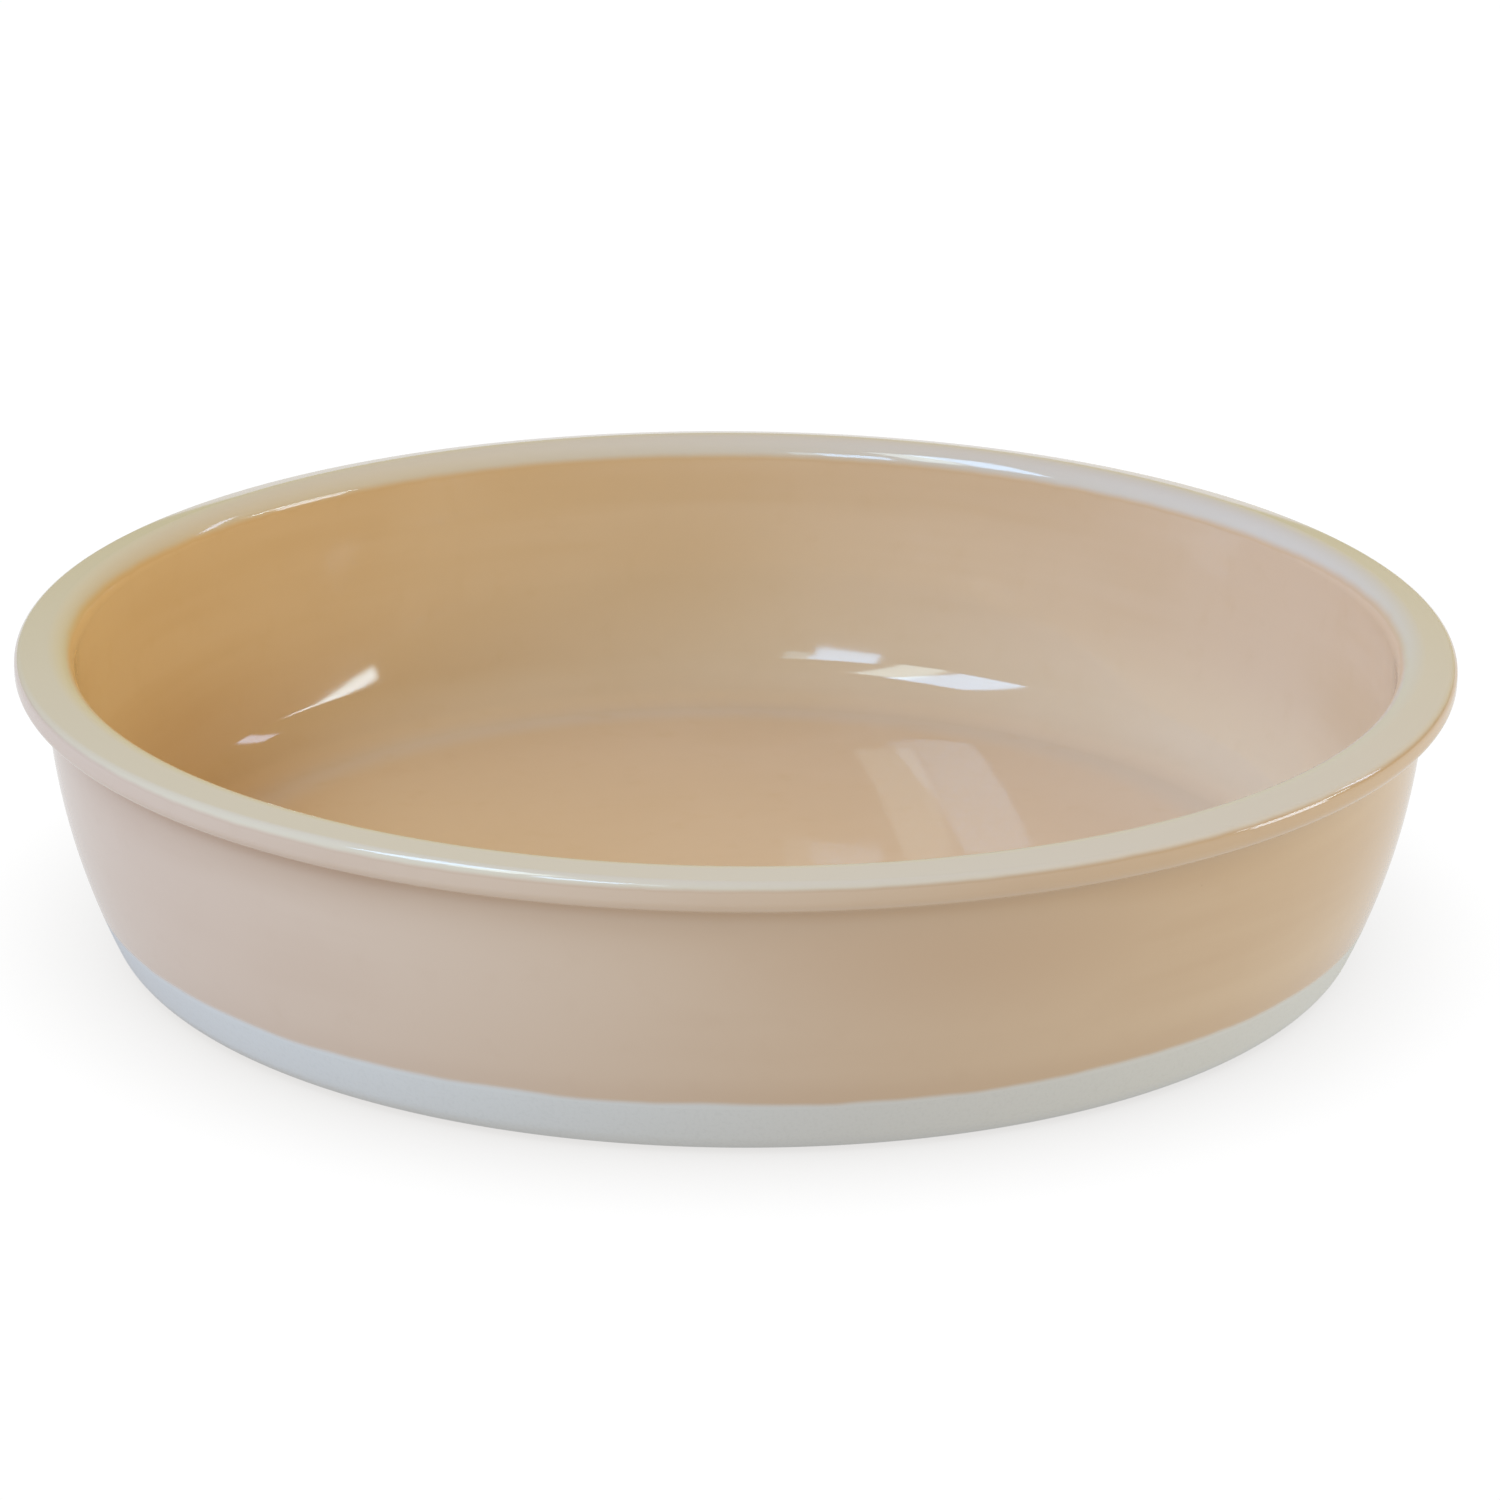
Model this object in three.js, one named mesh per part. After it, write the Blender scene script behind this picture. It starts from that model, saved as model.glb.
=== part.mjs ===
// A round, shallow, glazed stoneware dish with a rolled rim and a bare foot.
//
// It is one fired clay body under three glaze coats: a liner inside, a pale coat over
// the rim and a blush coat outside. Nothing on it moves. Units are millimetres, +Z is
// up, and the origin is on the axis at the level of the surface that the dish stands on.
//
// Every piece is a turned shape. Its outline is made of arcs and straight lines, all given
// for the finished, glazed surface. An "inset" moves an outline into the wall, so that the
// back of a glaze coat and the clay under it follow the finished surface at even depths.

import * as THREE from 'three';

// Driving dimensions
const OUTER_DIAMETER = 280;
const HEIGHT = 60;
const WALL_THICKNESS = 5.75;
const FLOOR_HEIGHT = 7;

// Foot: a flat standing ring, a rounded corner, and a shallow recess inside the ring
const FOOT_OUTER_RADIUS = 116;
const FOOT_INNER_RADIUS = 104.5;
const FOOT_CORNER_RADIUS = 7;
const FOOT_CORNER_SLOPE = THREE.MathUtils.degToRad(65);
const RECESS_DEPTH = 1.2;
const RECESS_BEVEL = 2.5;

// Wall: one large arc outside and a concentric one inside, with a fillet to the floor
const WALL_ARC_RADIUS = 126;
const FLOOR_FILLET_RADIUS = 13;

// Rim: a crown over the wall, a slope to a rounded lip, and a flat shelf under the lip
const CROWN_ARC_RADIUS = 4.5;
const LIP_UPPER_RADIUS = 1.9;
const LIP_LOWER_RADIUS = 2.4;
const LIP_UPPER_CENTRE_HEIGHT = 57;
const SHELF_HEIGHT = 53.4;

// Glaze coats: their depth, the clearance that keeps neighbours apart, and their borders
const GLAZE_DEPTH = 0.5;
const CLEARANCE = 0.3;
const GLAZE_LINE_HEIGHT = 11.4;
const LIP_BORDER_HEIGHT = 56.9;

// Smoothness of the turned shapes
const SEGMENTS = 48;
const WALL_STEPS = 5;
const FOOT_WALL_STEPS = 1;
const CORNER_STEPS = 4;
const FILLET_STEPS = 6;
const CROWN_OUTER_STEPS = 1;
const CROWN_INNER_STEPS = 4;
const LIP_STEPS = 3;

// Insets of the finished surface, the back of the glaze and the clay under it
const FINISHED = 0;
const GLAZE_BACK = GLAZE_DEPTH;
const CLAY = GLAZE_DEPTH + CLEARANCE;

// Arc centres, as radius and height
const OUTER_RADIUS = OUTER_DIAMETER / 2;
const FOOT_CORNER_CENTRE = { r: FOOT_OUTER_RADIUS, z: FOOT_CORNER_RADIUS };
const WALL_CENTRE = {
  r: FOOT_CORNER_CENTRE.r - (WALL_ARC_RADIUS - FOOT_CORNER_RADIUS) * Math.sin(FOOT_CORNER_SLOPE),
  z: FOOT_CORNER_CENTRE.z + (WALL_ARC_RADIUS - FOOT_CORNER_RADIUS) * Math.cos(FOOT_CORNER_SLOPE),
};
const INNER_WALL_RADIUS = WALL_ARC_RADIUS - WALL_THICKNESS;
const CROWN_CENTRE = {
  r: WALL_CENTRE.r + INNER_WALL_RADIUS + CROWN_ARC_RADIUS,
  z: HEIGHT - CROWN_ARC_RADIUS,
};
const LIP_UPPER_CENTRE = { r: OUTER_RADIUS - LIP_UPPER_RADIUS, z: LIP_UPPER_CENTRE_HEIGHT };
const LIP_LOWER_CENTRE = { r: OUTER_RADIUS - LIP_LOWER_RADIUS, z: SHELF_HEIGHT + LIP_LOWER_RADIUS };
const FILLET_CENTRE = filletCentre();
const FILLET_TOP_SLOPE = Math.atan2(FILLET_CENTRE.r - WALL_CENTRE.r, WALL_CENTRE.z - FILLET_CENTRE.z);
const RIM_SLOPE = rimSlope();

// The fillet's arc touches the floor and touches the inner wall's arc from inside.
function filletCentre() {
  const z = FLOOR_HEIGHT + FLOOR_FILLET_RADIUS;
  const reach = INNER_WALL_RADIUS - FLOOR_FILLET_RADIUS;
  const r = WALL_CENTRE.r + Math.sqrt(reach ** 2 - (WALL_CENTRE.z - z) ** 2);
  return { r, z };
}

// The angle of the straight slope that touches both the crown's arc and the lip's upper arc.
function rimSlope() {
  const across = LIP_UPPER_CENTRE.r - CROWN_CENTRE.r;
  const up = LIP_UPPER_CENTRE.z - CROWN_CENTRE.z;
  const difference = CROWN_ARC_RADIUS - LIP_UPPER_RADIUS;
  return Math.asin(difference / Math.hypot(across, up)) - Math.atan2(up, across);
}

// Points on an arc. The angle is that of the tangent: 0 where the arc is level at its
// lowest point, a quarter turn where it stands upright at its widest, half a turn on top.
function arc(centre, radius, from, to, steps) {
  return Array.from({ length: steps + 1 }, (_, i) => {
    const angle = THREE.MathUtils.lerp(from, to, i / steps);
    return new THREE.Vector2(centre.r + radius * Math.sin(angle), centre.z - radius * Math.cos(angle));
  });
}

const QUARTER = Math.PI / 2;
const RIM_NORMAL = Math.PI - RIM_SLOPE;

// The tangent's angle on a wall arc of this radius at a height.
function wallAngle(radius, height) {
  return Math.acos((WALL_CENTRE.z - height) / radius);
}

// The outside of the wall between two heights, going up.
function outerWall(inset, low, high, steps = WALL_STEPS) {
  const radius = WALL_ARC_RADIUS - inset;
  return arc(WALL_CENTRE, radius, wallAngle(radius, low), wallAngle(radius, high), steps);
}

// The foot's rounded corner, from the standing ring to the start of the wall's arc.
function footCorner() {
  return arc(FOOT_CORNER_CENTRE, FOOT_CORNER_RADIUS, 0, FOOT_CORNER_SLOPE, CORNER_STEPS);
}

// The shelf's outer end and the lip's lower round, up to where the lip is upright.
function lipLower(inset) {
  return arc(LIP_LOWER_CENTRE, LIP_LOWER_RADIUS - inset, 0, QUARTER, LIP_STEPS);
}

// The lip's upper round, from where it is upright to the rim's slope.
function lipUpper(inset) {
  return arc(LIP_UPPER_CENTRE, LIP_UPPER_RADIUS - inset, QUARTER, RIM_NORMAL, LIP_STEPS);
}

// The crown, from the rim's slope to its highest point and down to the top of the inner wall.
function crown(inset) {
  const radius = CROWN_ARC_RADIUS - inset;
  return [
    ...arc(CROWN_CENTRE, radius, RIM_NORMAL, Math.PI, CROWN_OUTER_STEPS),
    ...arc(CROWN_CENTRE, radius, Math.PI, Math.PI + QUARTER, CROWN_INNER_STEPS).slice(1),
  ];
}

// The bowl's inside from just under the crown down the wall and the fillet to the axis.
function bowl(inset) {
  const wall = INNER_WALL_RADIUS + inset;
  const top = wallAngle(wall, CROWN_CENTRE.z - CLEARANCE);
  return [
    ...arc(WALL_CENTRE, wall, top, FILLET_TOP_SLOPE, WALL_STEPS),
    ...arc(FILLET_CENTRE, FLOOR_FILLET_RADIUS + inset, FILLET_TOP_SLOPE, 0, FILLET_STEPS).slice(1),
    new THREE.Vector2(0, FLOOR_HEIGHT - inset),
  ];
}

// The recess under the dish, from the axis to the standing ring.
function underside() {
  return [
    new THREE.Vector2(0, RECESS_DEPTH),
    new THREE.Vector2(FOOT_INNER_RADIUS - RECESS_BEVEL, RECESS_DEPTH),
    new THREE.Vector2(FOOT_INNER_RADIUS, 0),
  ];
}

// A ring-shaped coat: its outline runs along its face, returns along its back, and closes.
function ringOutline(face) {
  const outline = [...face(FINISHED), ...face(GLAZE_BACK).reverse()];
  return [...outline, outline[0].clone()];
}

function turned(name, outline, color, roughness) {
  const geometry = new THREE.LatheGeometry(outline, SEGMENTS);
  geometry.rotateX(QUARTER);
  const material = new THREE.MeshStandardMaterial({ color, roughness, metalness: 0 });
  const mesh = new THREE.Mesh(geometry, material);
  mesh.name = name;
  return mesh;
}

// Bare clay at the foot, stepping in at the glaze line to leave room for the coats.
function dishBody() {
  const ledge = GLAZE_LINE_HEIGHT - CLEARANCE;
  const footTop = FOOT_CORNER_CENTRE.z - FOOT_CORNER_RADIUS * Math.cos(FOOT_CORNER_SLOPE);
  const outline = [
    ...underside(),
    ...footCorner(),
    ...outerWall(FINISHED, footTop, ledge, FOOT_WALL_STEPS).slice(1),
    ...outerWall(CLAY, ledge, SHELF_HEIGHT + CLAY),
    ...lipLower(CLAY),
    ...lipUpper(CLAY),
    ...crown(CLAY),
    ...bowl(CLAY),
  ];
  return turned('dish_body', outline, 0xbabdb9, 0.85);
}

// The liner, from the axis out along its back and in again along its face.
function innerGlaze() {
  const outline = [...bowl(GLAZE_BACK).reverse(), ...bowl(FINISHED)];
  return turned('inner_glaze', outline, 0xc3a27a, 0.15);
}

// The pale coat, from the top of the lip's upright face over the crown to the inner wall.
function rimGlaze() {
  const lipEdge = LIP_BORDER_HEIGHT;
  const face = (inset) => [
    new THREE.Vector2(OUTER_RADIUS - inset, lipEdge),
    ...lipUpper(inset),
    ...crown(inset),
  ];
  return turned('rim_glaze', ringOutline(face), 0xcdc3b2, 0.18);
}

// The blush coat, from the glaze line up the wall, under the shelf and round the lip.
function outerGlaze() {
  const lipEdge = LIP_BORDER_HEIGHT - CLEARANCE;
  const face = (inset) => [
    ...outerWall(inset, GLAZE_LINE_HEIGHT, SHELF_HEIGHT + inset),
    ...lipLower(inset),
    new THREE.Vector2(OUTER_RADIUS - inset, lipEdge),
  ];
  return turned('outer_glaze', ringOutline(face), 0xbda58b, 0.2);
}

const dish = new THREE.Group();
dish.add(dishBody(), innerGlaze(), rimGlaze(), outerGlaze());

export default dish;
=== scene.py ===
"""A round, shallow, glazed stoneware dish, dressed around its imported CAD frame.

The dish is four turned pieces: the clay body, bare at the foot, and three coats of glaze
that meet edge to edge: the liner, the rim and the outside. Everything is in metres in the
CAD's own frame: +Z is up, and the origin is on the axis at the level of the floor.
"""
import bpy
import math
from mathutils import Matrix, Vector


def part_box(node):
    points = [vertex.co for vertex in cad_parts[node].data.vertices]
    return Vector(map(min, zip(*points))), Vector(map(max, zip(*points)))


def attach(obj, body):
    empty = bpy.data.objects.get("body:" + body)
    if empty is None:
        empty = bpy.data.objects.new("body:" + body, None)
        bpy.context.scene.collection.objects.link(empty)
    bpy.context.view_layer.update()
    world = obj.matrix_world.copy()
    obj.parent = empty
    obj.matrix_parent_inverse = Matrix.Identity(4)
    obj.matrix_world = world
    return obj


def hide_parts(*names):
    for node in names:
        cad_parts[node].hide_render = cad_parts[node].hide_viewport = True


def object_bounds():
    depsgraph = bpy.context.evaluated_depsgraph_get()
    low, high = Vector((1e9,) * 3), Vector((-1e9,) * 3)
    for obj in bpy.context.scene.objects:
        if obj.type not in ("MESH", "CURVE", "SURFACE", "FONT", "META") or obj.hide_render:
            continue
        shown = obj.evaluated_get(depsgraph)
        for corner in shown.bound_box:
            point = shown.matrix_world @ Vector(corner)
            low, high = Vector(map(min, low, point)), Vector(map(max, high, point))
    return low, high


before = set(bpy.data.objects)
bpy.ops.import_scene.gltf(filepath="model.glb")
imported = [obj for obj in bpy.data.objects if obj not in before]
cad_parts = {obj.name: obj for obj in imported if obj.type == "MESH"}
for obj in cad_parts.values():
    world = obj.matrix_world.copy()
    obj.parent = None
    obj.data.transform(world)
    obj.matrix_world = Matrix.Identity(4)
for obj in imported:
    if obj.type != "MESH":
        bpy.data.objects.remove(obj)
cad_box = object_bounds()

# ---- Sizes from the frame ---------------------------------------------------------------
OUTER_RADIUS = cad_box[1].x
HEIGHT = cad_box[1].z
GLAZE_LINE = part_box("outer_glaze")[0].z
CROWN_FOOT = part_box("rim_glaze")[0].z
LIP_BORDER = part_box("outer_glaze")[1].z
CENTRE = Vector((0, 0, HEIGHT / 2))

# ---- Sizes of the outline, as in the CAD ------------------------------------------------
WALL_THICKNESS = 0.00575
FLOOR_HEIGHT = 0.007
FOOT_OUTER_RADIUS = 0.116
FOOT_INNER_RADIUS = 0.1045
FOOT_CORNER_RADIUS = 0.007
FOOT_CORNER_SLOPE = math.radians(65)
RECESS_DEPTH = 0.0012
RECESS_BEVEL = 0.0025
WALL_ARC_RADIUS = 0.126
FLOOR_FILLET_RADIUS = 0.013
CROWN_ARC_RADIUS = HEIGHT - CROWN_FOOT
LIP_UPPER_RADIUS = 0.0019
LIP_LOWER_RADIUS = 0.0024
LIP_UPPER_CENTRE_HEIGHT = 0.057
SHELF_HEIGHT = 0.0534

# ---- Sizes that only the looks have: the coats touch, and the lip turns out in a hollow -
COAT_DEPTH = 0.0005
UNDERCUT_RADIUS = 0.0012
COAT_SKIRT = 0.0008
COAT_FOOT = GLAZE_LINE - COAT_SKIRT

# ---- Smoothness: how many steps each stretch of an outline has --------------------------
TURNS = 288
RECESS_STEPS = 50
BEVEL_STEPS = 4
FOOT_RING_STEPS = 6
FOOT_CORNER_STEPS = 16
FOOT_WALL_STEPS = 8
CLAY_WALL_STEPS = 30
COAT_WALL_STEPS = 60
UNDERCUT_STEPS = 8
LIP_STEPS = 12
CROWN_OUTER_STEPS = 6
CROWN_INNER_STEPS = 24
INNER_WALL_STEPS = 48
FILLET_STEPS = 36
FLOOR_STEPS = 60
SHARP_ANGLE = math.radians(40)

QUARTER = math.pi / 2

# ---- Arc centres, as radius and height --------------------------------------------------
FOOT_CORNER_CENTRE = (FOOT_OUTER_RADIUS, FOOT_CORNER_RADIUS)
FOOT_TOP = FOOT_CORNER_CENTRE[1] - FOOT_CORNER_RADIUS * math.cos(FOOT_CORNER_SLOPE)
WALL_REACH = WALL_ARC_RADIUS - FOOT_CORNER_RADIUS
WALL_CENTRE = (
    FOOT_CORNER_CENTRE[0] - WALL_REACH * math.sin(FOOT_CORNER_SLOPE),
    FOOT_CORNER_CENTRE[1] + WALL_REACH * math.cos(FOOT_CORNER_SLOPE),
)
INNER_WALL_RADIUS = WALL_ARC_RADIUS - WALL_THICKNESS
CROWN_CENTRE = (WALL_CENTRE[0] + INNER_WALL_RADIUS + CROWN_ARC_RADIUS, CROWN_FOOT)
LIP_UPPER_CENTRE = (OUTER_RADIUS - LIP_UPPER_RADIUS, LIP_UPPER_CENTRE_HEIGHT)
LIP_LOWER_CENTRE = (OUTER_RADIUS - LIP_LOWER_RADIUS, SHELF_HEIGHT + LIP_LOWER_RADIUS)


def fillet_centre():
    """The fillet touches the floor and touches the inner wall's arc from inside."""
    height = FLOOR_HEIGHT + FLOOR_FILLET_RADIUS
    reach = INNER_WALL_RADIUS - FLOOR_FILLET_RADIUS
    return WALL_CENTRE[0] + math.sqrt(reach**2 - (WALL_CENTRE[1] - height) ** 2), height


def rim_slope():
    """The angle of the straight slope that touches the crown's arc and the lip's."""
    across = LIP_UPPER_CENTRE[0] - CROWN_CENTRE[0]
    up = LIP_UPPER_CENTRE[1] - CROWN_CENTRE[1]
    difference = CROWN_ARC_RADIUS - LIP_UPPER_RADIUS
    return math.asin(difference / math.hypot(across, up)) - math.atan2(up, across)


FILLET_CENTRE = fillet_centre()
FILLET_TOP_SLOPE = math.atan2(FILLET_CENTRE[0] - WALL_CENTRE[0], WALL_CENTRE[1] - FILLET_CENTRE[1])
RIM_NORMAL = math.pi - rim_slope()


# ---- Outlines: lists of (radius, height) ------------------------------------------------
def arc(centre, radius, start, end, steps):
    """Points on an arc. The angle is its tangent's: 0 is level, a quarter turn upright."""
    angles = [start + (end - start) * i / steps for i in range(steps + 1)]
    return [(centre[0] + radius * math.sin(a), centre[1] - radius * math.cos(a)) for a in angles]


def straight(start, end, steps):
    """Points on a straight line, both ends among them."""
    shares = [i / steps for i in range(steps + 1)]
    return [tuple(a + (b - a) * s for a, b in zip(start, end)) for s in shares]


def wall_angle(radius, height):
    """The tangent's angle at a height on a wall arc of this radius."""
    return math.acos((WALL_CENTRE[1] - height) / radius)


def outer_wall(inset, low, high, steps):
    """The outside of the wall between two heights, going up."""
    radius = WALL_ARC_RADIUS - inset
    return arc(WALL_CENTRE, radius, wall_angle(radius, low), wall_angle(radius, high), steps)


def undercut(inset):
    """The small hollow where the outside of the wall turns out under the lip."""
    radius = UNDERCUT_RADIUS + inset
    wall_top = WALL_CENTRE[0] + WALL_ARC_RADIUS
    centre = (wall_top + UNDERCUT_RADIUS, SHELF_HEIGHT - UNDERCUT_RADIUS)
    return arc(centre, -radius, QUARTER, 0, UNDERCUT_STEPS)


def lip_lower(inset):
    """The lip's lower round, from the shelf under it to where it is upright."""
    return arc(LIP_LOWER_CENTRE, LIP_LOWER_RADIUS - inset, 0, QUARTER, LIP_STEPS)


def lip_upper(inset):
    """The lip's upper round, from where it is upright to the rim's slope."""
    return arc(LIP_UPPER_CENTRE, LIP_UPPER_RADIUS - inset, QUARTER, RIM_NORMAL, LIP_STEPS)


def crown(inset):
    """From the rim's slope over the highest point and down to the top of the inner wall."""
    radius = CROWN_ARC_RADIUS - inset
    outer = arc(CROWN_CENTRE, radius, RIM_NORMAL, math.pi, CROWN_OUTER_STEPS)
    inner = arc(CROWN_CENTRE, radius, math.pi, math.pi + QUARTER, CROWN_INNER_STEPS)
    return outer + inner[1:]


def bowl(inset):
    """From the foot of the crown down the inner wall and round the fillet to the axis."""
    wall = INNER_WALL_RADIUS + inset
    wall_top = wall_angle(wall, CROWN_FOOT)
    upper = arc(WALL_CENTRE, wall, wall_top, FILLET_TOP_SLOPE, INNER_WALL_STEPS)
    fillet_radius = FLOOR_FILLET_RADIUS + inset
    fillet = arc(FILLET_CENTRE, fillet_radius, FILLET_TOP_SLOPE, 0, FILLET_STEPS)
    floor = straight(fillet[-1], (0, FLOOR_HEIGHT - inset), FLOOR_STEPS)
    return upper + fillet[1:] + floor[1:]


def underside():
    """From the axis across the recess to the standing ring and round the foot's corner."""
    recess_edge = (FOOT_INNER_RADIUS - RECESS_BEVEL, RECESS_DEPTH)
    recess = straight((0, RECESS_DEPTH), recess_edge, RECESS_STEPS)
    bevel = straight(recess_edge, (FOOT_INNER_RADIUS, 0), BEVEL_STEPS)
    ring = straight((FOOT_INNER_RADIUS, 0), (FOOT_OUTER_RADIUS, 0), FOOT_RING_STEPS)
    corner = arc(FOOT_CORNER_CENTRE, FOOT_CORNER_RADIUS, 0, FOOT_CORNER_SLOPE, FOOT_CORNER_STEPS)
    return recess + bevel[1:] + ring[1:] + corner[1:]


def clay_outline():
    """The bare foot, and above it the clay at the back of the coats."""
    under = COAT_DEPTH
    bare = outer_wall(0, FOOT_TOP, COAT_FOOT, FOOT_WALL_STEPS)
    wall = outer_wall(under, COAT_FOOT, SHELF_HEIGHT - UNDERCUT_RADIUS, CLAY_WALL_STEPS)
    lip = lip_lower(under) + lip_upper(under)
    return underside() + bare[1:] + wall + undercut(under)[1:] + lip + crown(under) + bowl(under)[1:]


def rim_face(inset):
    """The pale coat's outline, from the lip's upright face over the crown."""
    return [(OUTER_RADIUS - inset, LIP_BORDER)] + lip_upper(inset) + crown(inset)


def outside_face(inset):
    """The blush coat's outline, from the glaze line up the wall and round the lip."""
    wall = outer_wall(inset, COAT_FOOT, SHELF_HEIGHT - UNDERCUT_RADIUS, COAT_WALL_STEPS)
    return wall + undercut(inset)[1:] + lip_lower(inset) + [(OUTER_RADIUS - inset, LIP_BORDER)]


# ---- The hand in it: small departures from a perfect turned shape -----------------------
RING_HEIGHT = 0.000004
RING_RADIANS_PER_METRE = 620
DIP_HEIGHT = 0.00003
DIP_RADIANS_PER_METRE = 71
RIPPLE_FADE = 0.03
FLOOR_BAND = 0.001
OUT_OF_ROUND = 0.0009
LIP_RISE = 0.001
LIP_RISE_SIDE = math.radians(-110)
LIP_RISE_RADII = (0.134, 0.139)
LIP_RISE_HEIGHTS = (0.056, 0.058)


def smooth(low, high, value):
    """0 below low and 1 above high, with a smooth rise between."""
    share = min(1.0, max(0.0, (value - low) / (high - low)))
    return share * share * (3 - 2 * share)


def inside_ripple(radius, angle):
    """Height of the throwing rings and dips on the floor, under 0.04 mm either way."""
    ring_phase = radius * RING_RADIANS_PER_METRE + 0.8 * math.sin(angle + 0.6)
    dip_phase = radius * DIP_RADIANS_PER_METRE + 1.3 * math.cos(angle - 0.4)
    rings = RING_HEIGHT * math.sin(ring_phase)
    dips = DIP_HEIGHT * math.sin(dip_phase) * math.cos(2 * angle + 0.5)
    fade = min(1.0, max(0.0, (FILLET_CENTRE[0] - radius) / RIPPLE_FADE))
    return (rings + dips) * fade


def out_of_round(angle):
    """How far a point is drawn in towards the axis, as a share of its radius."""
    lobes = 0.5 + 0.3 * math.sin(2 * angle + 0.7) + 0.2 * math.sin(3 * angle + 2.1)
    return OUT_OF_ROUND * lobes


def lip_rise(radius, height, angle):
    """The lip stands up to a millimetre higher on one side, where the rim is flat on top."""
    side = max(0.0, math.cos(angle - LIP_RISE_SIDE)) ** 4
    outermost = smooth(*LIP_RISE_RADII, radius)
    return LIP_RISE * side * outermost * smooth(*LIP_RISE_HEIGHTS, height)


def by_hand(radius, height, angle):
    """The place of a point of an outline, turned to an angle and drawn off true."""
    drawn = radius * (1 - out_of_round(angle))
    lift = lip_rise(radius, height, angle)
    if abs(height - FLOOR_HEIGHT) < FLOOR_BAND:
        lift = inside_ripple(radius, angle)
    return drawn * math.cos(angle), drawn * math.sin(angle), height + lift


# ---- Turned solids ----------------------------------------------------------------------
def turned(name, outline, closed):
    """A solid of revolution. The outline ends on the axis twice, or closes on itself."""
    points = []
    rings = []
    for radius, height in outline:
        count = 1 if radius < 1e-9 else TURNS
        first = len(points)
        points += [by_hand(radius, height, 2 * math.pi * i / TURNS) for i in range(count)]
        rings.append([first + i % count for i in range(TURNS + 1)])
    faces = []
    pairs = list(zip(rings, rings[1:])) + ([(rings[-1], rings[0])] if closed else [])
    for lower, upper in pairs:
        for i in range(TURNS):
            corners = [lower[i], lower[i + 1], upper[i + 1], upper[i]]
            faces.append(list(dict.fromkeys(corners)))
    mesh = bpy.data.meshes.new(name)
    mesh.from_pydata(points, [], faces)
    mesh.shade_smooth()
    mesh.set_sharp_from_angle(angle=SHARP_ANGLE)
    piece = bpy.data.objects.new(name, mesh)
    bpy.context.scene.collection.objects.link(piece)
    return piece


def coat(name, face):
    """A coat of glaze: out along its face, and back along its depth."""
    return turned(name, face(0) + face(COAT_DEPTH)[::-1], closed=True)


def mark(piece, name, rule):
    """Stores a number at every point of a piece, found from its radius, height and angle."""
    attribute = piece.data.attributes.new(name, "FLOAT", "POINT")
    for value, point in zip(attribute.data, piece.data.vertices):
        x, y, z = point.co
        value.value = rule(math.hypot(x, y), z, math.atan2(y, x))


# The heights between which the glaze thins out. Inside they stand higher at the two ends
# of the dish along X.
THIN_OUTSIDE = (0.0574, 0.0591)
THIN_INSIDE = (0.0550, 0.0582)
THIN_INSIDE_RISE = 0.0022


def thinness(radius, height, angle):
    """1 where the glaze breaks thin over the rim, 0 where it is full."""
    if radius > CROWN_CENTRE[0]:
        return smooth(*THIN_OUTSIDE, height)
    return smooth(*THIN_INSIDE, height - THIN_INSIDE_RISE * math.cos(angle) ** 8)


def outwardness(radius, height, _angle):
    """0 on the inside of the dish and 1 on its outside, changing smoothly over the crown."""
    if height > CROWN_FOOT:
        return smooth(CROWN_CENTRE[0], LIP_UPPER_CENTRE[0], radius)
    middle = WALL_ARC_RADIUS - WALL_THICKNESS / 2
    return float(radius > WALL_CENTRE[0] + middle * math.sin(wall_angle(middle, height)))


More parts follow.
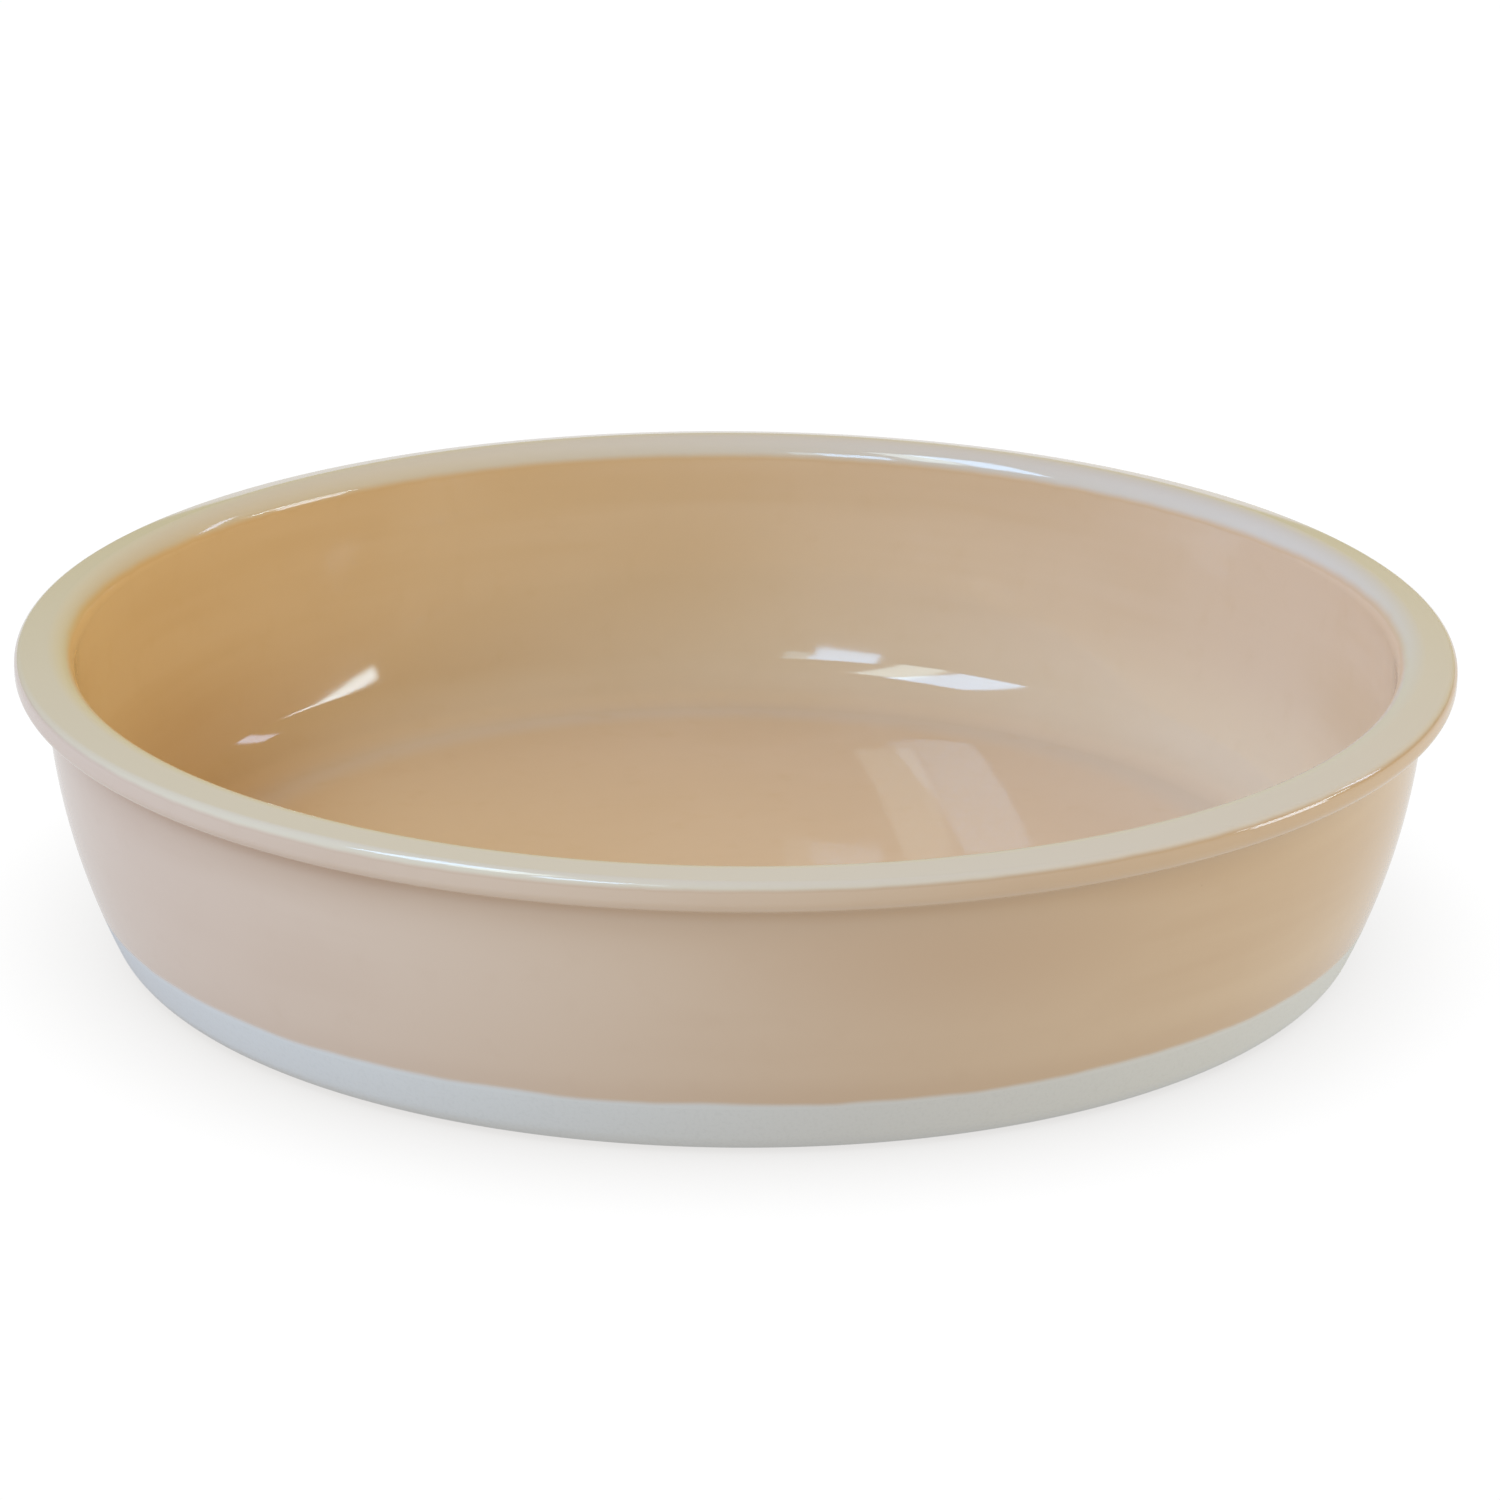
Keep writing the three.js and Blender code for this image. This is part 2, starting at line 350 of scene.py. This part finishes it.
# ---- Shader helpers ---------------------------------------------------------------------
class Graph:
    """A node tree with short calls. A value passed to a socket is set, a socket is linked."""

    def __init__(self, tree):
        self.tree = tree
        tree.nodes.clear()

    def put(self, socket, value):
        if isinstance(value, bpy.types.NodeSocket):
            self.tree.links.new(value, socket)
        else:
            socket.default_value = value

    def node(self, kind, inputs=(), **settings):
        node = self.tree.nodes.new(kind)
        for name, value in settings.items():
            setattr(node, name, value)
        for key, value in dict(inputs).items():
            self.put(node.inputs[key], value)
        return node

    def maths(self, operation, first, second):
        return self.node("ShaderNodeMath", {0: first, 1: second}, operation=operation).outputs[0]

    def vector(self, operation, *inputs, output="Vector"):
        node = self.node("ShaderNodeVectorMath", enumerate(inputs), operation=operation)
        return node.outputs[output]

    def mix(self, share, first, second):
        node = self.node("ShaderNodeMix", {0: share, 6: first, 7: second}, data_type="RGBA")
        return node.outputs[2]

    def step(self, value, low, high):
        """0 below low and 1 above high, with a smooth rise between."""
        inputs = {"Value": value, "From Min": low, "From Max": high}
        return self.node("ShaderNodeMapRange", inputs, interpolation_type="SMOOTHSTEP").outputs[0]

    def spot(self, place, centre, reach):
        """1 at a centre, falling smoothly to 0 at these distances from it along X, Y and Z."""
        offset = self.vector("DIVIDE", self.vector("SUBTRACT", place, centre), reach)
        return self.step(self.vector("LENGTH", offset, output="Value"), 1.0, 0.0)

    def noise(self, place, scale, detail, stretch=(1, 1, 1)):
        place = self.node("ShaderNodeMapping", {"Vector": place, "Scale": stretch}).outputs[0]
        inputs = {"Vector": place, "Scale": scale, "Detail": detail}
        return self.node("ShaderNodeTexNoise", inputs).outputs["Fac"]

    def wander(self, place, scale, amount):
        """Noise about 0, of which this amount is the whole range."""
        centred = self.maths("SUBTRACT", self.noise(place, scale, 3), 0.5)
        return self.maths("MULTIPLY", centred, amount)

    def place(self):
        return self.node("ShaderNodeTexCoord").outputs["Object"]

    def attribute(self, name):
        return self.node("ShaderNodeAttribute", attribute_name=name).outputs["Fac"]

    def bump(self, height, strength, distance):
        inputs = {"Height": height, "Strength": strength, "Distance": distance}
        return self.node("ShaderNodeBump", inputs).outputs[0]

    def finish(self, shader):
        self.node("ShaderNodeOutputMaterial", {"Surface": shader.outputs[0]})


def new_material(name):
    """A material, and the graph to build its nodes with."""
    material = bpy.data.materials.new(name)
    material.use_nodes = True
    return material, Graph(material.node_tree)


def colour(red, green, blue):
    return red, green, blue, 1.0


# ---- Clay: sizes of texture are scales, so a higher one is finer ------------------------
CLAY = colour(0.60, 0.62, 0.62)
CLAY_DARK = colour(0.52, 0.54, 0.54)
CLAY_ROUGHNESS = 0.72
CLAY_GRAIN_SCALE = 1400
CLAY_GRAIN_SHARE = 0.35
CLAY_CLOUD_SCALE = 40
CLAY_CLOUD_SHARE = 0.2
CLAY_TOOTH_SCALE = 1800
CLAY_TOOTH_DEPTH = 0.00004
CLAY_TOOTH_STRENGTH = 0.35


def clay_material():
    """Matt fired clay, with a fine darker grain, faint clouds and a fine tooth."""
    material, g = new_material("bare_stoneware")
    place = g.place()
    grain = g.step(g.noise(place, CLAY_GRAIN_SCALE, 3), 0.45, 0.75)
    clouds = g.noise(place, CLAY_CLOUD_SCALE, 3)
    tint = g.mix(g.maths("MULTIPLY", grain, CLAY_GRAIN_SHARE), CLAY, CLAY_DARK)
    tint = g.mix(g.maths("MULTIPLY", clouds, CLAY_CLOUD_SHARE), tint, CLAY_DARK)
    tooth = g.bump(g.noise(place, CLAY_TOOTH_SCALE, 4), CLAY_TOOTH_STRENGTH, CLAY_TOOTH_DEPTH)
    inputs = {"Base Color": tint, "Roughness": CLAY_ROUGHNESS, "Normal": tooth}
    g.finish(g.node("ShaderNodeBsdfPrincipled", inputs))
    return material


# ---- Glaze ------------------------------------------------------------------------------
LINER = colour(0.696, 0.524, 0.332)
LINER_THICK = colour(0.650, 0.468, 0.268)
BLUSH = colour(0.569, 0.444, 0.330)
BLUSH_THICK = colour(0.530, 0.400, 0.290)
PALE = colour(0.640, 0.587, 0.479)

# Painted light: the glaze colours shift from side to side, standing in for how cool window light
# from the -X side and warm light from the +X side fall on each part. These are the shares that red,
# green and blue gain from the middle of the dish to its edge on the +X side, and lose on the -X
# side.
WALL_PAINTED_LIGHT = colour(0.00, 0.03, 0.20)
FLOOR_PAINTED_LIGHT = colour(0.10, 0.17, 0.34)
NO_PAINTED_LIGHT = colour(0, 0, 0)
BLUSH_PAINTED_LIGHT = (0.00, -0.02, -0.13)
PALE_PAINTED_LIGHT = (0.04, 0.08, 0.17)
FLOOR_TO_WALL = (0.014, 0.034)

# Thick glaze is darker. It lies in random clouds broken up by turning bands. The spots, given by
# their centre, their reach and how strongly they darken, darken the glaze the same way: the first,
# on the front of the outside wall, is painted shade where little light falls; the second darkens the
# back of the dish.
CLOUD_SCALE = 14
BAND_SCALES = (6, 6, 70)
CLOUD_EDGES = (0.35, 0.65)
CLOUD_SHARE = 0.75
SHADE_AND_THICK_SPOTS = (
    ((0.045, -0.128, 0.040), (0.070, 0.060, 0.019), 1.0),
    ((-0.012, 0.122, 0.034), (0.040, 0.040, 0.022), 0.6),
)

# Painted reflection: a faint pale ring on the floor at the foot of the fillet, standing in for the
# pale rim mirrored in the fillet.
REFLECTION_RING_RADIUS = 0.1060
REFLECTION_RING_REACH = 0.008
REFLECTION_RING_HEIGHTS = (0.0105, 0.0085)
REFLECTION_RING_SHARE = 0.28

# Towards the rim the glaze first pools, and then breaks thin. The border is ragged.
RAGGED_SCALE = 160
RAGGED_AMOUNT = 0.25
RIM_POOL_RANGE = (0.0, 0.15)
RIM_POOL_SHARE = 0.7
RIM_PALE_RANGE = (0.08, 0.85)

# At the foot the glaze pools, more on the +X side, and ends on a wavering line.
LINE_SWAY_SCALE = 45
LINE_SWAY = 0.0016
FOOT_POOL_HEIGHTS = (0.001, 0.007)
FOOT_POOL_SHARE = 0.55
FOOT_POOL_SIDE = 0.45
LINE_FADE = (-0.0005, 0.0010)
LINE_ROUGHNESS = 0.6
OUTSIDE_ROUGHNESS = 0.08

GLAZE_ROUGHNESS = 0.07
GLAZE_IOR = 1.5
SKIN_SCALE = 90
SKIN_DEPTH = 0.0001
SKIN_STRENGTH = 0.1
PINHOLE = colour(0.2, 0.15, 0.1)
PINHOLE_SHARE = 0.6
PINHOLE_DEPTH = -0.3
PINHOLE_CELL_SCALE = 70
PINHOLE_EDGE = (0.012, 0.03)
PINHOLE_CHOSEN = (0.93, 0.94)


def pinholes(g, place):
    """A few dark pinholes, each a fraction of a millimetre across."""
    cells = g.node("ShaderNodeTexVoronoi", {"Vector": place, "Scale": PINHOLE_CELL_SCALE})
    lot = g.node("ShaderNodeSeparateColor", {"Color": cells.outputs["Color"]}).outputs[0]
    chosen = g.step(lot, *PINHOLE_CHOSEN)
    dot = g.maths("SUBTRACT", 1.0, g.step(cells.outputs["Distance"], *PINHOLE_EDGE))
    return g.maths("MULTIPLY", chosen, dot)


def glaze_and_light_tones(g, height, side):
    """The colours of full, thick and thin glaze, with painted light that changes them from side to
    side.
    """
    outward = g.attribute("outward")
    inside_painted_light = g.mix(g.step(height, *FLOOR_TO_WALL), FLOOR_PAINTED_LIGHT, WALL_PAINTED_LIGHT)
    inside_painted_light = g.mix(outward, inside_painted_light, NO_PAINTED_LIGHT)
    painted_light_gain = g.vector("MULTIPLY_ADD", outward, BLUSH_PAINTED_LIGHT, inside_painted_light)
    painted_light_tint = g.vector("MULTIPLY_ADD", painted_light_gain, side, (1, 1, 1))
    pale_painted_light_tint = g.vector("MULTIPLY_ADD", PALE_PAINTED_LIGHT, side, (1, 1, 1))
    full = g.vector("MULTIPLY", g.mix(outward, LINER, BLUSH), painted_light_tint)
    thick = g.vector("MULTIPLY", g.mix(outward, LINER_THICK, BLUSH_THICK), painted_light_tint)
    pale = g.vector("MULTIPLY", PALE[:3], pale_painted_light_tint)
    return full, thick, pale


def thickness_and_painted_shade(g, place):
    """How thick the glaze lies in its clouds, and how dark its spots are, the first of them painted
    shade, from 0 to 1.
    """
    clouds = g.step(g.noise(place, CLOUD_SCALE, 3), *CLOUD_EDGES)
    bands = g.step(g.noise(place, 1.0, 3, BAND_SCALES), *CLOUD_EDGES)
    thick = g.maths("MULTIPLY", g.maths("MULTIPLY", clouds, bands), CLOUD_SHARE)
    # The first spot is painted shade on the front of the outside wall; the second darkens the back
    # of the dish.
    for centre, reach, share in SHADE_AND_THICK_SPOTS:
        spot = g.maths("MULTIPLY", g.spot(place, centre, reach), share)
        thick = g.maths("MAXIMUM", thick, spot)
    return thick


def painted_reflection_ring(g, place, height):
    """The share of pale colour in the ring at the foot of the fillet, a painted reflection of the
    pale rim.
    """
    radius = g.vector("LENGTH", g.vector("MULTIPLY", place, (1, 1, 0)), output="Value")
    distance = g.maths("ABSOLUTE", g.maths("SUBTRACT", radius, REFLECTION_RING_RADIUS), 0)
    low = g.step(height, *REFLECTION_RING_HEIGHTS)
    ring = g.maths("MULTIPLY", g.step(distance, REFLECTION_RING_REACH, 0.0), low)
    return g.maths("MULTIPLY", ring, REFLECTION_RING_SHARE)


def break_over_rim(g, place, tint, thick, pale):
    """The tint, pooled along a ragged border and pale above it."""
    ragged = g.maths("ADD", g.attribute("thin"), g.wander(place, RAGGED_SCALE, RAGGED_AMOUNT))
    pool = g.maths("MULTIPLY", g.step(ragged, *RIM_POOL_RANGE), RIM_POOL_SHARE)
    tint = g.mix(pool, tint, thick)
    return g.mix(g.step(ragged, *RIM_PALE_RANGE), tint, pale)


def end_at_foot(g, place, height, side, tint, thick):
    """The tint and roughness of glaze that pools at the foot and ends there on bare clay."""
    sway = g.wander(place, LINE_SWAY_SCALE, LINE_SWAY)
    above_line = g.maths("ADD", g.maths("SUBTRACT", height, GLAZE_LINE), sway)
    share = g.maths("ADD", FOOT_POOL_SHARE, g.maths("MULTIPLY", side, FOOT_POOL_SIDE))
    low = g.maths("SUBTRACT", 1.0, g.step(above_line, *FOOT_POOL_HEIGHTS))
    pooled = g.mix(g.maths("MULTIPLY", low, share), tint, thick)
    covered = g.step(above_line, *LINE_FADE)
    smoothing = g.maths("MULTIPLY", covered, LINE_ROUGHNESS - OUTSIDE_ROUGHNESS)
    return g.mix(covered, CLAY, pooled), g.maths("SUBTRACT", LINE_ROUGHNESS, smoothing)


def glaze_material(name, foot_fade=False):
    """Glossy glaze, pale where it is thin, with soft clouds, turning bands and pinholes, and with
    painted light: side-to-side tints, a shade spot and a reflection ring.
    """
    material, g = new_material(name)
    place = g.place()
    along = g.node("ShaderNodeSeparateXYZ", {"Vector": place}).outputs
    height = along["Z"]
    side = g.maths("DIVIDE", along["X"], OUTER_RADIUS)
    # Painted light: these tones turn cooler or warmer from side to side, as the cool window and the
    # warm lamp would light them.
    full, thick, pale = glaze_and_light_tones(g, height, side)
    # Painted shade: the first dark spot stands in for shade on the front of the outside wall.
    tint = g.mix(thickness_and_painted_shade(g, place), full, thick)
    # Painted reflection: the pale ring on the floor at the foot of the fillet.
    tint = g.mix(painted_reflection_ring(g, place, height), tint, PALE)
    tint = break_over_rim(g, place, tint, thick, pale)
    roughness = GLAZE_ROUGHNESS
    if foot_fade:
        tint, roughness = end_at_foot(g, place, height, side, tint, thick)
    holes = pinholes(g, place)
    tint = g.mix(g.maths("MULTIPLY", holes, PINHOLE_SHARE), tint, PINHOLE)
    skin = g.maths("ADD", g.noise(place, SKIN_SCALE, 2), g.maths("MULTIPLY", holes, PINHOLE_DEPTH))
    normal = g.bump(skin, SKIN_STRENGTH, SKIN_DEPTH)
    inputs = {"Base Color": tint, "Roughness": roughness, "IOR": GLAZE_IOR, "Normal": normal}
    g.finish(g.node("ShaderNodeBsdfPrincipled", inputs))
    return material


# ---- The four pieces --------------------------------------------------------------------
def finish_piece(piece, node, material):
    """Dresses a piece and lets it stand for its CAD node."""
    piece.data.materials.append(material)
    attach(piece, "root")
    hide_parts(node)


def make_dish():
    body = turned("clay_body", clay_outline(), closed=False)
    finish_piece(body, "dish_body", clay_material())
    liner = turned("glazed_liner", bowl(COAT_DEPTH)[::-1] + bowl(0), closed=False)
    rim = coat("glazed_rim", rim_face)
    outside = coat("glazed_outside", outside_face)
    for piece in (liner, rim, outside):
        mark(piece, "thin", thinness)
        mark(piece, "outward", outwardness)
    finish_piece(liner, "inner_glaze", glaze_material("golden_liner"))
    finish_piece(rim, "rim_glaze", glaze_material("pale_rim"))
    blush = glaze_material("blush_outside", foot_fade=True)
    finish_piece(outside, "outer_glaze", blush)


# ---- Camera: it stands on the -Y side and looks slightly down ---------------------------
CAMERA_AIM = Vector((0.00285, 0, 0.03549))
CAMERA_DISTANCE = 1.3958
CAMERA_ELEVATION = math.radians(19.32)
CAMERA_ROLL = math.radians(0.497)
CAMERA_LENS = 171.2


def direction(azimuth, elevation):
    """Unit vector at an azimuth from +X towards +Y and an elevation, both in radians."""
    level = math.cos(elevation)
    return Vector((level * math.cos(azimuth), level * math.sin(azimuth), math.sin(elevation)))


def make_camera():
    camera = bpy.data.objects.new("camera", bpy.data.cameras.new("camera"))
    camera.data.lens = CAMERA_LENS
    camera.location = CAMERA_AIM + CAMERA_DISTANCE * direction(-QUARTER, CAMERA_ELEVATION)
    look = (CAMERA_AIM - camera.location).to_track_quat("-Z", "Y").to_matrix()
    roll = Matrix.Rotation(CAMERA_ROLL, 3, "Z")
    camera.rotation_euler = (look @ roll).to_euler()
    bpy.context.scene.collection.objects.link(camera)
    bpy.context.scene.camera = camera


# ---- Floor: it glows by itself, white to the camera and a little dimmer on the dish -----
FLOOR_RADIUS = 12
FLOOR_SEEN = 1.02
FLOOR_BOUNCE = 0.83
FLOOR_WHITE = colour(1, 1, 1)
SHADOW_TINT = colour(0.75, 0.74, 0.73)
SHADOW_REACH = 0.05
SHADOW_END = 0.9


def make_floor():
    """A plain white floor that shows only the soft shadow where the dish stands."""
    bpy.ops.mesh.primitive_circle_add(vertices=96, radius=FLOOR_RADIUS, fill_type="NGON")
    floor = bpy.context.object
    floor.name = "floor"
    material, g = new_material("white_floor")
    shade = g.node("ShaderNodeAmbientOcclusion", {"Distance": SHADOW_REACH}, samples=16)
    tint = g.mix(g.step(shade.outputs["AO"], 0.0, SHADOW_END), SHADOW_TINT, FLOOR_WHITE)
    seen = g.node("ShaderNodeLightPath").outputs["Is Camera Ray"]
    extra = g.maths("MULTIPLY", seen, FLOOR_SEEN - FLOOR_BOUNCE)
    strength = g.maths("ADD", FLOOR_BOUNCE, extra)
    g.finish(g.node("ShaderNodeEmission", {"Color": tint, "Strength": strength}))
    floor.data.materials.append(material)


# ---- Room: broad lights, each round an axis, and narrower the higher its power is -------
ROOM_GLOW = (0.19, 0.0, 0.0)
ROOM_IN_GLOSS = 0.3
ROOM_LIGHTS = (
    ((-1.0, 0.0, 1.0), 3, (0.43, 0.52, 0.64)),
    ((1.0, 0.0, 0.15), 4, (1.65, 1.51, 0.77)),
    ((-1.0, 0.0, 0.15), 4, (0.55, 0.62, 0.80)),
    ((0.0, -1.0, 0.15), 4, (0.56, 0.54, 0.18)),
    ((0.0, 1.0, 0.15), 4, (1.58, 1.66, 0.74)),
)


def make_room():
    """Broad soft light from five sides, dimmer in reflections and plain white to the camera."""
    world = bpy.data.worlds.new("room")
    world.use_nodes = True
    bpy.context.scene.world = world
    g = Graph(world.node_tree)
    way = g.node("ShaderNodeTexCoord").outputs["Generated"]
    total = ROOM_GLOW
    for axis, power, tint in ROOM_LIGHTS:
        facing = g.vector("DOT_PRODUCT", way, Vector(axis).normalized(), output="Value")
        lobe = g.maths("POWER", g.maths("MAXIMUM", facing, 0.0), power)
        total = g.vector("MULTIPLY_ADD", tint, lobe, total)
    path = g.node("ShaderNodeLightPath").outputs
    seen = g.mix(path["Is Camera Ray"], total, colour(1, 1, 1))
    dimming = g.maths("MULTIPLY", path["Is Glossy Ray"], 1 - ROOM_IN_GLOSS)
    strength = g.maths("SUBTRACT", 1.0, dimming)
    glow = g.node("ShaderNodeBackground", {"Color": seen, "Strength": strength})
    g.node("ShaderNodeOutputWorld", {"Surface": glow.outputs[0]})


# ---- Lamps: a window of two panes with a pale curtain beside each, and at the right a long
# lamp, a low bright card under it and a small lamp. Each fills a range of azimuths and of
# elevations, in degrees, at a distance, and shines with a radiance in red, green and blue.
LAMPS = (
    ("near_pane", (-120, -106), (22, 36), 1.3, (4.4, 7.6, 11.5)),
    ("near_curtain", (-106, -100), (24, 37), 1.3, (2.0, 3.0, 3.5)),
    ("far_pane", (-157, -137), (33, 60), 1.3, (4.4, 7.6, 11.5)),
    ("far_curtain", (-137, -124), (31, 58), 1.3, (4.9, 6.4, 6.7)),
    ("lamp", (-13.2, 12), (12.6, 14.7), 0.85, (10, 13, 15)),
    ("low_card", (-11, 5), (1, 11), 0.85, (6, 7.5, 9)),
    ("small_lamp", (20.5, 25.5), (15, 29), 1.3, (4, 5, 7)),
)


def make_lamp(name, azimuths, elevations, distance, radiance):
    """A flat lit rectangle that faces the dish and fills these angles, seen from it."""
    azimuth = math.radians(sum(azimuths) / 2)
    elevation = math.radians(sum(elevations) / 2)
    width = math.radians(azimuths[1] - azimuths[0]) * math.cos(elevation)
    height = math.radians(elevations[1] - elevations[0])
    light = bpy.data.lights.new(name, "AREA")
    light.shape = "RECTANGLE"
    light.size = 2 * distance * math.tan(width / 2)
    light.size_y = 2 * distance * math.tan(height / 2)
    strongest = max(radiance)
    light.color = [part / strongest for part in radiance]
    light.energy = strongest * math.pi * light.size * light.size_y
    lamp = bpy.data.objects.new(name, light)
    away = direction(azimuth, elevation)
    lamp.location = CENTRE + distance * away
    lamp.rotation_euler = (-away).to_track_quat("-Z", "Y").to_euler()
    lamp.visible_camera = False
    bpy.context.scene.collection.objects.link(lamp)


make_camera()
make_dish()
make_floor()
make_room()
for lamp in LAMPS:
    make_lamp(*lamp)
bpy.context.scene.view_settings.view_transform = "Standard"
